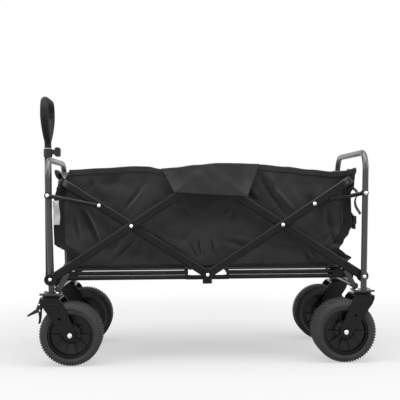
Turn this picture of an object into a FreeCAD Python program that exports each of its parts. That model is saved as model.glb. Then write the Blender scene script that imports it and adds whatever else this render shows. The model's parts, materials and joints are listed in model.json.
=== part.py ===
"""Folding transport cart: two caster end frames joined by side scissors, a fabric basket and a pull handle.

Millimetres, +Z up, floor at Z = 0.  The handle end (front) faces -X and the cart's left side is -Y.
"""
import FreeCAD, Part
import math
import os

import Sketcher

# Driving dimensions: alias, value in millimetres or degrees, meaning
DIMENSIONS = [
    # Scissor bars and hoops
    ("rise_angle", 33.0, "angle of every scissor bar when the cart is open"),
    ("bar_upper", 263.4, "crossing to the middle hinge, along every bar"),
    ("bar_extra", 18.1, "how much longer a bar is below its crossing"),
    ("rim_setback", 31.5, "hoop's cross run short of the lower hinge, along the bar"),
    ("hoop_corner", 45.0, "bend radius of a hoop's centre line"),
    ("bar_height", 25.0, "height of the flat-oval bars"),
    ("bar_thick", 12.0, "thickness of the flat-oval bars"),
    ("eye_radius", 14.5, "rounded end of a bar or a hoop about its hinge"),
    ("inner_layer", 203.0, "middle of the inner bars from the centre plane"),
    ("layer_gap", 1.5, "between an inner and an outer bar"),
    # End frames
    ("post_gap", 3.5, "between a post and the bars beside it"),
    ("post_radius", 9.0, "radius of the end frames' tube"),
    ("post_corner", 55.0, "bend radius at the end frames' top corners"),
    ("post_foot", 39.6, "posts' lower end, below the lower hinges"),
    ("front_rise", 52.2, "front frame's top centre line, above the top middle hinge"),
    ("rear_rise", 67.2, "rear frame's top centre line, above the top middle hinge"),
    ("post_lean", 1.4, "outward lean of the end frames"),
    # Short links and pins
    ("link_height", 244.0, "short links' pins on the posts, above the lower hinges"),
    ("link_reach", 111.0, "crossing to the short link's pin, along a hoop bar"),
    ("link_radius", 6.0, "radius of the short links"),
    ("link_eye", 9.6, "radius of the short links' flattened ends"),
    ("pin_radius", 4.0, "radius of the hinge pins"),
    ("pin_clearance", 0.1, "radial clearance of a hinge pin"),
    ("rivet_radius", 8.0, "radius of the rivet heads"),
    ("rivet_head", 3.0, "height of the rivet heads"),
    # Bottom cross tubes
    ("beam_inset", 15.0, "bottom cross tube, inward from the posts"),
    ("beam_drop", 32.0, "bottom cross tube, below the lower hinges"),
    ("beam_radius", 8.5, "radius of the bottom cross tube"),
    ("caster_inset", 3.0, "casters' swivel axis, inward from the inner bars"),
    ("plate_half", 30.0, "half the width of a caster's swivel plate"),
    ("plate_thick", 5.0, "thickness of a caster's swivel plate"),
    ("ear_gap", 1.5, "between a rail's hinge plate and the inner bars"),
    ("ear_thick", 4.0, "thickness of a rail's hinge plate"),
    ("ear_radius", 9.0, "hinge plate's edge from its pin"),
    # Folding floor
    ("rail_inset", 45.0, "floor rails' hinge, inward from the posts"),
    ("rail_hinge", 13.5, "floor rails' hinge, above the lower hinges"),
    ("rail_gap", 2.0, "between a floor rail and its hinge plate"),
    ("rail_radius", 6.5, "radius of the floor rails"),
    ("rail_drop", 13.5, "lower floor rail, below the upper one"),
    ("rail_start", 28.0, "hinge to the upper floor rail's outer end"),
    ("rail_overhang", 21.0, "lower floor rail's outer end, beyond the hinge"),
    ("rail_end_gap", 50.0, "lower floor rail's inner end to the cart's middle"),
    ("rail_step", 10.0, "upper floor rail's inner end, short of the lower one's"),
    ("stay_thick", 8.0, "thickness of the upright stays between the floor rails"),
    ("cross_radius", 5.5, "radius of the floor frame's cross tubes"),
    ("board_start", 10.0, "rail hinge to the floor board's outer end"),
    ("board_side", 1.5, "between a floor board and the floor rails beside it"),
    ("board_thick", 6.0, "thickness of the floor boards"),
    ("board_split", 6.0, "between a floor half and the middle board"),
    ("middle_half", 31.0, "half the length of the middle board"),
    ("middle_wing", 7.0, "middle board's reach over each foot"),
    ("foot_half", 13.5, "half the length of a middle foot"),
    ("foot_drop", 19.0, "bottom of the middle feet, below the lower hinges"),
    ("channel_thick", 3.0, "thickness of the channels on the middle feet"),
    ("channel_lap", 10.0, "channel's reach past the floor rails' ends"),
    # Casters
    ("wheel_radius", 90.5, "tyre radius"),
    ("wheel_lead", 31.0, "tyre's leading edge, ahead of the swivel axis"),
    ("tyre_width", 100.0, "tyre width"),
    ("tyre_depth", 24.5, "tread to the rim's seat"),
    ("tyre_shoulder", 12.0, "rounding of the tyre's shoulders"),
    ("rim_wall", 6.0, "thickness of the rim's barrel"),
    ("axle_radius", 6.0, "axle radius"),
    ("boss_radius", 16.8, "radius of the hub and of the yoke's ends"),
    ("yoke_drop", 52.0, "top of a caster yoke, below the lower hinges"),
    ("yoke_sheet", 3.0, "sheet thickness of a caster yoke"),
    ("yoke_gap", 3.0, "between a yoke's cheek and the tyre"),
    ("tyre_clearance", 12.0, "between a yoke's roof and the tyre"),
    ("yoke_hole", 4.0, "radius of the hole in each cheek of a yoke"),
    ("pedal_reach", 68.0, "swivel axis to the brake pedal's tip"),
    # Pull handle
    ("handle_offset", 34.0, "handle's tube, outward from the posts"),
    ("handle_pivot", 20.0, "handle's pivot, below the lower hinges"),
    ("handle_rise", 16.0, "top of the handle's outer tube, above the front frame's top"),
    ("handle_radius", 11.0, "radius of the handle's outer tube"),
    ("clevis_gap", 3.0, "between the handle's foot and an ear of its clevis"),
    ("clevis_wall", 4.0, "thickness of an ear of the clevis"),
    ("rod_radius", 8.0, "radius of the handle's inner rod"),
    ("rod_length", 300.0, "length of the handle's inner rod"),
    ("slide_clearance", 0.3, "radial clearance of the inner rod"),
    ("collar_radius", 13.5, "radius of the handle's collar"),
    ("collar_height", 26.0, "height of the handle's collar"),
    ("knob_reach", 39.0, "handle's axis to the end of the collar's knob"),
    ("knob_width", 24.0, "width of the collar's knob"),
    ("grip_half", 75.0, "half the width of the grip's centre line"),
    ("grip_rise", 172.5, "grip's upper centre line, above the outer tube's top"),
    ("grip_radius", 12.5, "radius of the padded grip"),
    # Fabric
    ("panel_inset", 20.0, "fabric end wall, inward from the posts"),
    ("panel_margin", 8.4, "between a fabric end wall and the sides"),
    ("panel_thick", 6.0, "thickness of a fabric end wall"),
    ("side_gap", 0.6, "between a fabric side and the inner bars"),
    ("side_thick", 5.0, "thickness of the fabric sides"),
    ("side_inset", 66.0, "fabric side's end, inward from the posts"),
    ("side_rise", 28.2, "top of the fabric sides, above the top middle hinge"),
    ("cloth_lift", 2.3, "bottom of the fabric walls, above the floor boards"),
    ("sleeve_margin", 18.0, "fabric sleeve's end to the front hoop's bend"),
    ("sleeve_thick", 3.0, "thickness of the fabric sleeves"),
    ("flap_thick", 3.0, "thickness of the middle flaps"),
]

Y_AXIS = FreeCAD.Vector(0, 1, 0)
Z_AXIS = FreeCAD.Vector(0, 0, 1)
SIDES = {"left": -1, "right": 1}
ENDS = ("front", "rear")

doc = FreeCAD.newDocument("folding_cart")
sheet = doc.addObject("Spreadsheet::Sheet", "sizes")
for row, (alias, value, meaning) in enumerate(DIMENSIONS, start=1):
    sheet.set(f"A{row}", meaning)
    sheet.set(f"B{row}", str(value))
    sheet.setAlias(f"B{row}", alias)
doc.recompute()


def size(alias):
    """Value of one named cell."""
    return float(sheet.get(alias))


# Clearances that every piece shares
GAP = 0.3  # pieces that face each other
SEAT = 0.2  # a board on its tubes, a pin's end short of the face beside it
SINK = 1.0  # how far joined blocks and rods of one piece run into each other
HEAD_SINK = 1.2  # a rivet head into a bar's rounded edge

# Heights and distances from the lower hinges of one end
rise = math.radians(size("rise_angle"))
lean = math.radians(size("post_lean"))
bar_lower = size("bar_upper") + size("bar_extra")
bar_length = bar_lower + size("bar_upper")
hoop_length = bar_length - size("rim_setback")
middle_x = bar_length * math.cos(rise)
low_middle_z = size("bar_extra") * math.sin(rise)
high_middle_z = bar_length * math.sin(rise)
frame_top = {end: high_middle_z + size(f"{end}_rise") for end in ENDS}
post_foot = -size("post_foot")
board_low = size("cross_radius") + SEAT
basket_bottom = size("rail_hinge") + board_low + size("board_thick") + size("cloth_lift")
side_top = high_middle_z + size("side_rise")
yoke_top = -size("yoke_drop")
trail = size("wheel_radius") - size("wheel_lead")
hinge_height = 2 * size("wheel_radius") + size("tyre_clearance") + size("yoke_sheet") + size("yoke_drop")
axle_z = size("wheel_radius") - hinge_height
handle_top = frame_top["front"] + size("handle_rise")

# Distances from the centre plane
half_thick = size("bar_thick") / 2
inner_layer = size("inner_layer")
outer_layer = inner_layer + size("bar_thick") + size("layer_gap")
inner_face = inner_layer - half_thick
outer_face = outer_layer + half_thick
post_layer = {
    "front": outer_layer - half_thick - size("post_gap") - size("post_radius"),
    "rear": inner_layer + half_thick + size("post_gap") + size("post_radius"),
}
caster_layer = inner_layer - size("caster_inset")
ear_outer = inner_face - size("ear_gap")
ear_inner = ear_outer - size("ear_thick")
rail_layer = ear_inner - size("rail_gap") - size("rail_radius")
board_half = rail_layer - size("rail_radius") - size("board_side")
yoke_half = size("tyre_width") / 2 + size("yoke_gap") + size("yoke_sheet")
side_outer = inner_face - size("side_gap")
side_inner = side_outer - size("side_thick")
flap_inner = outer_face + size("rivet_head") + size("layer_gap")

# Floor rails, from their hinge
rail_length = middle_x - size("rail_inset") - size("rail_end_gap")
upper_rail = (size("rail_start"), rail_length - size("rail_step"))

# The cart's overall length runs from the brake pedals to the rear tyres
frame_shift = (size("pedal_reach") - size("wheel_lead")) / 2

nodes = []


def axes(end):
    """Rotation of one end's own frame, whose +X points to the middle of the cart."""
    return FreeCAD.Rotation(Z_AXIS, 0 if end == "front" else 180)


def place(part, end, inward, height, pitch=0.0, side=0.0):
    """Put a part in an end's frame: inward from the posts, height above the hinges, rise in degrees."""
    outward = -1 if end == "front" else 1
    base = FreeCAD.Vector(frame_shift + outward * (middle_x - inward), side, hinge_height + height)
    part.Placement = FreeCAD.Placement(base, axes(end) * FreeCAD.Rotation(-Y_AXIS, pitch))
    nodes.append(part)
    return part


def body(label):
    """New PartDesign body."""
    made = doc.addObject("PartDesign::Body", label)
    made.Label = label
    return made


def sketch(owner, plane, offset=0.0):
    """Sketch on one of the body's own origin planes, moved along the plane's normal."""
    made = owner.newObject("Sketcher::SketchObject", f"{owner.Name}_sketch")
    support = [f for f in owner.Origin.OriginFeatures if f.Role == plane][0]
    made.AttachmentSupport = [(support, "")]
    made.MapMode = "FlatFace"
    made.AttachmentOffset = FreeCAD.Placement(FreeCAD.Vector(0, 0, offset), FreeCAD.Rotation())
    return made


def draw_circle(on, x, y, radius):
    """Circle whose radius is an expression on the sheet."""
    centre = FreeCAD.Vector(x, y, 0)
    at = on.addGeometry(Part.Circle(centre, Z_AXIS, 1.0))
    constraint = on.addConstraint(Sketcher.Constraint("Radius", at, 1.0))
    on.setExpression(f"Constraints[{constraint}]", radius)


def draw_path(on, points, radii=0.0, closed=False):
    """Straight runs through points, each corner rounded by a tangent arc."""
    corners = [FreeCAD.Vector(x, y, 0) for x, y in points]
    count = len(corners)
    if not isinstance(radii, (list, tuple)):
        radii = [radii] * count
    starts, ends, arcs = [], [], []
    for i, corner in enumerate(corners):
        rounded = radii[i] > 0 and (closed or 0 < i < count - 1)
        if not rounded:
            starts.append(corner)
            ends.append(corner)
            arcs.append(None)
            continue
        back = (corners[i - 1] - corner).normalize()
        ahead = (corners[(i + 1) % count] - corner).normalize()
        half = back.getAngle(ahead) / 2
        cut = radii[i] / math.tan(half)
        centre = corner + (back + ahead).normalize() * (radii[i] / math.sin(half))
        first, last = corner + back * cut, corner + ahead * cut
        middle = centre + (corner - centre).normalize() * radii[i]
        starts.append(first)
        ends.append(last)
        arcs.append(Part.Arc(first, middle, last))
    for i in range(count):
        if arcs[i]:
            on.addGeometry(arcs[i])
        if i < count - 1 or closed:
            run_end = starts[(i + 1) % count]
            if (run_end - ends[i]).Length > 1e-6:
                on.addGeometry(Part.LineSegment(ends[i], run_end))


def draw_slot(on, x, y, half_width, half_height):
    """Upright slot: two straight sides and two half-round ends."""
    straight = half_height - half_width
    low, high = FreeCAD.Vector(x, y - straight, 0), FreeCAD.Vector(x, y + straight, 0)
    across = FreeCAD.Vector(half_width, 0, 0)
    down, up = FreeCAD.Vector(0, -half_width, 0), FreeCAD.Vector(0, half_width, 0)
    on.addGeometry(Part.LineSegment(low + across, high + across))
    on.addGeometry(Part.Arc(high + across, high + up, high - across))
    on.addGeometry(Part.LineSegment(high - across, low - across))
    on.addGeometry(Part.Arc(low - across, low + down, low + across))


def pad(owner, profile, length, midplane=False, backwards=False):
    """Pad whose length is an expression on the sheet."""
    made = owner.newObject("PartDesign::Pad", f"{owner.Name}_pad")
    made.Profile = profile
    made.setExpression("Length", length)
    made.Midplane = midplane
    made.Reversed = backwards
    owner.Tip = made
    return made


def pocket_through(owner, profile):
    """Pocket through everything, both ways."""
    made = owner.newObject("PartDesign::Pocket", f"{owner.Name}_pocket")
    made.Profile = profile
    made.Type = "ThroughAll"
    made.Midplane = True
    owner.Tip = made
    return made


def pipe(owner, profile, path):
    """Profile swept along a path sketch."""
    made = owner.newObject("PartDesign::AdditivePipe", f"{owner.Name}_pipe")
    made.Profile = profile
    made.Spine = path
    owner.Tip = made
    return made


def block(owner, plane, outline, length, offset=0.0, radii=0.0, midplane=False, backwards=False):
    """Pad of a closed outline."""
    profile = sketch(owner, plane, offset)
    draw_path(profile, outline, radii, closed=True)
    return pad(owner, profile, length, midplane, backwards)


def box(owner, x, y, z):
    """Upright block between two values on each axis."""
    outline = [(x[0], y[0]), (x[1], y[0]), (x[1], y[1]), (x[0], y[1])]
    return block(owner, "XY_Plane", outline, f"{z[1] - z[0]}", z[0])


def rod(owner, plane, at, radius, start, stop):
    """Round pad from one distance along the plane's normal to another."""
    profile = sketch(owner, plane, start)
    draw_circle(profile, at[0], at[1], radius)
    return pad(owner, profile, f"{abs(stop - start)}", backwards=stop < start)


def cross_hole(owner, at, radius="sizes.pin_radius + sizes.pin_clearance"):
    """Hole along Y through everything."""
    profile = sketch(owner, "XZ_Plane")
    draw_circle(profile, at[0], at[1], radius)
    return pocket_through(owner, profile)


def cross_rod(owner, at, radius, inner, outer, side):
    """Round pad along Y on one side of the cart, between two distances from the centre plane."""
    return rod(owner, "XZ_Plane", at, radius, -side * inner, -side * outer)


def rivet(owner, at, inner, outer, side):
    """Hinge pin from inner to outer, with its head on the outside."""
    cross_rod(owner, at, "sizes.pin_radius", inner, outer, side)
    cross_rod(owner, at, "sizes.rivet_radius", outer, outer + size("rivet_head"), side)


def round_sides(owner, radius):
    """Fillet round the faces whose normal is along Y."""
    doc.recompute()
    feature = owner.Tip
    sides = [
        f"Face{i}"
        for i, face in enumerate(feature.Shape.Faces, start=1)
        if isinstance(face.Surface, Part.Plane) and abs(face.normalAt(0, 0).y) > 0.99
    ]
    made = owner.newObject("PartDesign::Fillet", f"{owner.Name}_fillet")
    made.Base = (feature, sides)
    made.setExpression("Radius", radius)
    owner.Tip = made
    return made


def end_frame(end):
    """Inverted U of tube; the front one is drilled for the pins, the rear one carries them."""
    made = body(f"{end}_frame")
    half, top = post_layer[end], frame_top[end]
    path = sketch(made, "YZ_Plane")
    run = [(-half, post_foot), (-half, top), (half, top), (half, post_foot)]
    draw_path(path, run, size("post_corner"))
    profile = sketch(made, "XY_Plane", post_foot)
    draw_circle(profile, 0, -half, "sizes.post_radius")
    pipe(made, profile, path)
    for at in [(0, 0), (0, size("link_height"))]:
        if end == "front":
            cross_hole(made, at)
            continue
        for side in SIDES.values():
            rivet(made, at, inner_face - SEAT, half + size("post_radius") - SEAT, side)
    return place(made, end, 0, 0, size("post_lean"))


def beam(end):
    """Bottom cross tube with the swivel plates and the floor rails' hinge plates."""
    made = body(f"{end}_beam")
    half, ear, weld = size("plate_half"), size("ear_radius"), 4.0
    reach = caster_layer - half + weld
    rod(made, "XZ_Plane", (size("beam_inset"), -size("beam_drop")), "sizes.beam_radius", -reach, reach)
    top = post_foot - GAP
    hinge_x, hinge_z = size("rail_inset"), size("rail_hinge")
    post_side = size("post_radius") + size("ear_gap")
    outline = [(post_side, top - SINK), (half - weld, top - SINK), (hinge_x + ear, hinge_z)]
    outline += [(hinge_x, hinge_z + ear), (hinge_x - ear, hinge_z)]
    for side in SIDES.values():
        y = sorted(side * caster_layer + edge for edge in (-half, half))
        box(made, (-half, half), y, (top - size("plate_thick"), top))
        start = -side * ear_inner
        block(made, "XZ_Plane", outline, "sizes.ear_thick", start, 0.0, False, side > 0)
        pin_end = rail_layer - size("rail_radius") + SINK / 2
        cross_rod(made, (hinge_x, hinge_z), "sizes.pin_radius", pin_end, ear_inner + SINK, side)
    for side in SIDES.values():
        profile = sketch(made, "XY_Plane")
        draw_circle(profile, 0, side * caster_layer, "sizes.post_radius + sizes.pin_clearance")
        pocket_through(made, profile)
    return place(made, end, 0, 0)


def rising_bar(end, name, side):
    """Flat-oval bar from a lower hinge to the top middle hinge."""
    made = body(f"{end}_bar_{name}")
    profile = sketch(made, "XZ_Plane")
    half = size("bar_height") / 2
    ends = [(-half, -half), (bar_length + half, -half), (bar_length + half, half), (-half, half)]
    draw_path(profile, ends, half - 0.01, closed=True)
    pad(made, profile, "sizes.bar_thick", midplane=True)
    round_sides(made, "sizes.bar_thick * 0.4")
    layer = outer_layer if end == "front" else inner_layer
    rod(made, "XZ_Plane", (0, 0), "sizes.eye_radius", -half_thick, half_thick)
    for along in (0, bar_lower, bar_length):
        if end == "rear":
            cross_hole(made, (along, 0))
            continue
        inner = post_layer[end] - size("post_radius") if along == 0 else inner_face
        rivet(made, (along, 0), inner - SEAT - layer, half_thick - HEAD_SINK, side)
    return place(made, end, 0, 0, size("rise_angle"), side * layer)


def hoop(end):
    """One bent flat-oval tube: a bar on each side and the cross run under the basket's end rim."""
    made = body(f"{end}_hoop")
    layer = inner_layer if end == "front" else outer_layer
    path = sketch(made, "XY_Plane")
    run = [(0, -layer), (hoop_length, -layer), (hoop_length, layer), (0, layer)]
    draw_path(path, run, size("hoop_corner"))
    profile = sketch(made, "YZ_Plane")
    draw_slot(profile, -layer, 0, half_thick, size("bar_height") / 2)
    pipe(made, profile, path)
    for side in SIDES.values():
        cross_rod(made, (0, 0), "sizes.eye_radius", layer - half_thick, layer + half_thick, side)
    crossing = (size("bar_upper"), 0)
    link_pin = (size("bar_upper") + size("link_reach"), 0)
    if end == "front":
        cross_hole(made, (0, 0))
        cross_hole(made, crossing)
        return place(made, end, middle_x, low_middle_z, 180 - size("rise_angle"))
    for side in SIDES.values():
        rivet(made, (0, 0), rail_layer - size("rail_radius") + SINK / 2, outer_face - SEAT, side)
        rivet(made, crossing, inner_face - SEAT, outer_face - SEAT, side)
        head = outer_face + size("rivet_head")
        cross_rod(made, link_pin, "sizes.rivet_radius", outer_face - SINK, head, side)
    return place(made, end, middle_x, low_middle_z, 180 - size("rise_angle"))


def link(end, name, side):
    """Short round link with flattened ends, from a post to a hoop's bar."""
    post_x, post_z = -size("link_height") * math.sin(lean), size("link_height") * math.cos(lean)
    from_middle = size("bar_upper") + size("link_reach")
    bar_x = middle_x - from_middle * math.cos(rise)
    bar_z = low_middle_z + from_middle * math.sin(rise)
    length = math.hypot(bar_x - post_x, bar_z - post_z)
    pitch = math.degrees(math.atan2(bar_z - post_z, bar_x - post_x))
    made = body(f"{end}_link_{name}")
    inset = size("link_eye") / 2
    for along in (0, length):
        profile = sketch(made, "XZ_Plane")
        draw_circle(profile, along, 0, "sizes.link_eye")
        pad(made, profile, "sizes.link_radius", midplane=True)
        if along == 0:
            rod(made, "YZ_Plane", (0, 0), "sizes.link_radius", inset, length - inset)
    layer = outer_layer if end == "front" else inner_layer
    if end == "rear":
        cross_hole(made, (0, 0))
        return place(made, end, post_x, post_z, pitch, side * layer)
    flat = size("link_radius") / 2
    post_face = post_layer[end] - size("post_radius")
    rivet(made, (0, 0), post_face - SEAT - layer, flat - SINK, side)
    cross_rod(made, (length, 0), "sizes.rivet_radius", flat - SINK, flat + size("rivet_head") - SINK, side)
    return place(made, end, post_x, post_z, pitch, side * layer)


def rail_frame(end):
    """Floor frame of one half: two stacked tubes on each side and two cross tubes."""
    made = body(f"{end}_rail_frame")
    radius, drop, stay = size("rail_radius"), size("rail_drop"), size("stay_thick")
    first, last = upper_rail
    for along in (first, last - SEAT - SINK):
        rod(made, "XZ_Plane", (along, 0), "sizes.cross_radius", -rail_layer, rail_layer)
    ear = size("ear_radius") - SINK
    ear_plate = [(-ear, -ear), (ear, -2 * ear), (first + SINK, -2 * ear)]
    ear_plate += [(first + SINK, size("cross_radius")), (0, size("ear_radius")), (-ear, ear)]
    for side in SIDES.values():
        y = side * rail_layer
        rod(made, "YZ_Plane", (y, 0), "sizes.rail_radius", first, last)
        rod(made, "YZ_Plane", (y, -drop), "sizes.rail_radius", -size("rail_overhang"), rail_length)
        for along in (first, last - SINK):
            across = sorted((y - radius, y + radius))
            box(made, (along - stay / 2, along + stay / 2), across, (-drop - radius, radius))
        start = -side * (rail_layer - stay / 2)
        block(made, "XZ_Plane", ear_plate, "sizes.stay_thick", start, 0.0, False, side > 0)
    cross_hole(made, (0, 0))
    return place(made, end, size("rail_inset"), size("rail_hinge"))


def floor_board(end):
    """Stiff floor half that lies on the rail frame's cross tubes."""
    made = body(f"{end}_floor_board")
    inner_end = middle_x - size("rail_inset") - size("middle_half") - size("board_split")
    along, across = (size("board_start"), inner_end), (-board_half, board_half)
    box(made, along, across, (board_low, board_low + size("board_thick")))
    return place(made, end, size("rail_inset"), size("rail_hinge"))


def middle_bracket():
    """Level piece on the lower middle pins: cross tube, two feet and the channels beside the rails' ends."""
    made = body("middle_bracket")
    bottom = -size("foot_drop") - low_middle_z
    top = size("rail_hinge") + board_low - SEAT / 2 - low_middle_z
    foot, channel = size("foot_half"), size("channel_thick")
    face = inner_face - channel
    tie_drop = size("rail_radius") - SINK / 2
    rod(made, "XZ_Plane", (0, -tie_drop), "sizes.rail_radius + 1", -rail_layer, rail_layer)
    channel_mid = size("rail_hinge") - size("rail_drop") - low_middle_z
    half, length = size("rail_radius"), size("rail_end_gap") + size("channel_lap")
    for side in SIDES.values():
        y = sorted((side * (rail_layer - half), side * face))
        box(made, (-foot, foot), y, (bottom, top))
        channel_y = sorted((side * (face - channel), side * face))
        box(made, (-length, length), channel_y, (channel_mid - half, channel_mid + half))
    cross_hole(made, (0, 0))
    return place(made, "front", middle_x, low_middle_z)


def middle_board():
    """Narrow floor board between the two halves."""
    made = body("middle_floor_board")
    half, long = board_half + size("middle_wing"), size("middle_half")
    box(made, (-long, long), (-half, half), (board_low, board_low + size("board_thick")))
    return place(made, "front", middle_x, size("rail_hinge"))


def yoke(end, name, side):
    """Caster yoke of bent sheet, with its swivel race, kingpin and axle bolt."""
    made = body(f"{end}_yoke_{name}")
    top, boss, race = yoke_top, size("boss_radius"), size("plate_half") - 4.0
    nose, back, skirt = race - 2.0, race + 3.0, 12.0
    cheek = [(-nose, top), (back, top), (back + 11.0, top - skirt), (trail + boss, axle_z + 4.0)]
    cheek += [(trail - boss + 3.0, axle_z - 10.0), (6.0 - nose, top - 2 * skirt), (-nose, top - 9.0)]
    block(made, "XZ_Plane", cheek, f"{2 * yoke_half}", midplane=True)
    profile = sketch(made, "XZ_Plane")
    draw_circle(profile, trail, axle_z, "sizes.boss_radius")
    pad(made, profile, f"{2 * yoke_half}", midplane=True)
    inside, roof = yoke_half - size("yoke_sheet"), top - size("yoke_sheet")
    floor = axle_z - size("wheel_radius")
    opening = sketch(made, "YZ_Plane")
    draw_path(opening, [(-inside, roof), (inside, roof), (inside, floor), (-inside, floor)], 0, True)
    pocket_through(made, opening)
    lug_share = 0.45  # the hole's place on the line from the axle to the front of the roof
    hole = (trail - (trail + nose) * lug_share + 8.0, axle_z + (top - axle_z) * lug_share)
    cross_hole(made, hole, "sizes.yoke_hole")
    race_top = post_foot - size("plate_thick") - 2 * GAP
    rod(made, "XY_Plane", (0, 0), f"{race}", top - SINK, race_top)
    rod(made, "XY_Plane", (0, 0), "sizes.post_radius", race_top - SINK, post_foot - 2 * GAP)
    nut = 5.0
    bolt_end = yoke_half + nut - 2 * SINK
    rod(made, "XZ_Plane", (trail, axle_z), "sizes.axle_radius", -bolt_end, bolt_end)
    for direction in SIDES.values():
        at = (trail, axle_z)
        cross_rod(made, at, "sizes.axle_radius * 1.6", yoke_half - SINK, yoke_half + nut, direction)
    return place(made, end, 0, 0, 0, side * caster_layer)


def turned(owner, outline, radii=0.0):
    """Solid of revolution about the axle from a closed outline of (radius, width) points."""
    profile = sketch(owner, "YZ_Plane")
    draw_path(profile, [(y, r) for r, y in outline], radii, closed=True)
    made = owner.newObject("PartDesign::Revolution", f"{owner.Name}_turn")
    made.Profile = profile
    made.ReferenceAxis = (profile, ["H_Axis"])
    made.Angle = 360
    owner.Tip = made
    return made


def tyre(end, name, side):
    """Wide tyre with rounded shoulders."""
    made = body(f"{end}_tyre_{name}")
    half, outer = size("tyre_width") / 2, size("wheel_radius")
    inner, shoulder = outer - size("tyre_depth"), size("tyre_shoulder")
    outline = [(inner, -half), (inner, half), (outer, half), (outer, -half)]
    turned(made, outline, [0, 0, shoulder, shoulder])
    return place(made, end, trail, axle_z, 0, side * caster_layer)


def rim(end, name, side):
    """Plastic rim: barrel, web and hub bored for the axle."""
    made = body(f"{end}_rim_{name}")
    seat, bore = size("wheel_radius") - size("tyre_depth"), size("axle_radius") + size("pin_clearance")
    edge_step, web_step = 4.0, 12.0
    width = size("tyre_width") / 2 - edge_step
    hub = yoke_half - size("yoke_sheet") - HEAD_SINK
    web, wall, boss = width - web_step, seat - size("rim_wall"), size("boss_radius")
    outline = [(seat, -width), (wall, -width), (wall, -web), (boss, -web), (boss, -hub), (bore, -hub)]
    outline += [(bore, hub), (boss, hub), (boss, web), (wall, web), (wall, width), (seat, width)]
    turned(made, outline)
    return place(made, end, trail, axle_z, 0, side * caster_layer)


def pedal(name, side):
    """Foot brake on a front caster: an arm down the front of the yoke, its shoe and the pedal."""
    made = body(f"front_brake_{name}")
    tip, top = -size("pedal_reach"), yoke_top - SINK - GAP
    arm = -(size("plate_half") - 6.0 + GAP)  # the arm's face, against the yoke's nose
    outline = [(arm, top), (arm, top - 6.7), (arm - 4.7, top - 38.7), (arm - 6.2, top - 60.0)]
    outline += [(arm - 8.7, top - 75.0), (arm - 12.2, top - 75.0), (arm - 9.7, top - 58.0)]
    outline += [(arm - 11.7, top - 42.0), (tip, top - 54.7), (tip, top - 50.0), (arm - 18.7, top - 33.0)]
    outline += [(arm - 12.7, top - 18.0), (arm - 6.7, top)]
    block(made, "XZ_Plane", outline, "sizes.plate_half", midplane=True)
    return place(made, "front", 0, 0, 0, side * caster_layer)


def handle_bracket():
    """Clevis on the front cross tube that carries the handle's pivot pin."""
    made = body("handle_bracket")
    back = size("beam_inset") - size("beam_radius") - GAP
    low, shelf, root = -42.0, -22.0, 10.0
    pivot_x, pivot_z, eye = -size("handle_offset"), -size("handle_pivot"), size("ear_radius")
    ear = [(back, low), (back, shelf), (-root, -8.0), (pivot_x - eye + SINK, pivot_z + eye)]
    ear += [(pivot_x - eye, pivot_z - eye), (-root, low)]
    inside = size("handle_radius") + size("clevis_gap")
    width = 2 * (inside + size("clevis_wall"))
    block(made, "XZ_Plane", ear, f"{width}", midplane=True)
    opening = sketch(made, "XY_Plane")
    slot_root, beyond = SINK - root, pivot_x - 2 * eye
    slot = [(beyond, -inside), (slot_root, -inside), (slot_root, inside), (beyond, inside)]
    draw_path(opening, slot, closed=True)
    pocket_through(made, opening)
    profile = sketch(made, "XZ_Plane")
    draw_circle(profile, pivot_x, pivot_z, "sizes.pin_radius")
    pad(made, profile, f"{width + size('clevis_wall')}", midplane=True)
    return place(made, "front", 0, 0)


def handle_tube():
    """Outer handle tube with the pivot eye at its foot."""
    made = body("handle_tube")
    pivot, shank = -size("handle_pivot"), 20.0
    foot = pivot + shank
    rod(made, "XY_Plane", (0, 0), "sizes.handle_radius", foot, handle_top)
    bore = sketch(made, "XY_Plane", foot + 12.0)
    draw_circle(bore, 0, 0, "sizes.rod_radius + sizes.slide_clearance")
    cut = made.newObject("PartDesign::Pocket", "handle_bore")
    cut.Profile = bore
    cut.Length = handle_top
    cut.Reversed = True
    made.Tip = cut
    eye = sketch(made, "XZ_Plane")
    draw_circle(eye, 0, pivot, "sizes.handle_radius")
    pad(made, eye, "sizes.handle_radius * 2", midplane=True)
    half = size("handle_radius") - SINK
    box(made, (-half, half), (-half, half), (pivot, foot + SINK))
    cross_hole(made, (0, pivot))
    return place(made, "front", -size("handle_offset"), 0)


def handle_collar():
    """Plastic collar on top of the outer tube, with its clamping knob towards the front frame."""
    made = body("handle_collar")
    low, high = handle_top, handle_top + size("collar_height")
    rod(made, "XY_Plane", (0, 0), "sizes.collar_radius", low, high)
    neck_half, neck_start, knob_start, reach = 7.0, size("collar_radius") - 3.0, 22.0, size("knob_reach")
    box(made, (neck_start, knob_start + SINK), (-neck_half, neck_half), (low + 8.0, high - 3.0))
    knob_low, knob_high = low + SINK, high + 4.0
    knob = [(knob_start, knob_low), (reach, knob_low), (reach, knob_high), (knob_start, knob_high)]
    block(made, "XZ_Plane", knob, "sizes.knob_width", 0.0, 6.0, midplane=True)
    profile = sketch(made, "XY_Plane")
    draw_circle(profile, 0, 0, "sizes.rod_radius + sizes.slide_clearance")
    pocket_through(made, profile)
    return place(made, "front", -size("handle_offset"), 0)


def handle_rod():
    """Inner rod that draws out of the outer tube."""
    made = body("handle_rod")
    top = handle_top + size("collar_height") + 2 * SINK
    rod(made, "XY_Plane", (0, 0), "sizes.rod_radius", top - size("rod_length"), top)
    return place(made, "front", -size("handle_offset"), 0)


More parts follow.
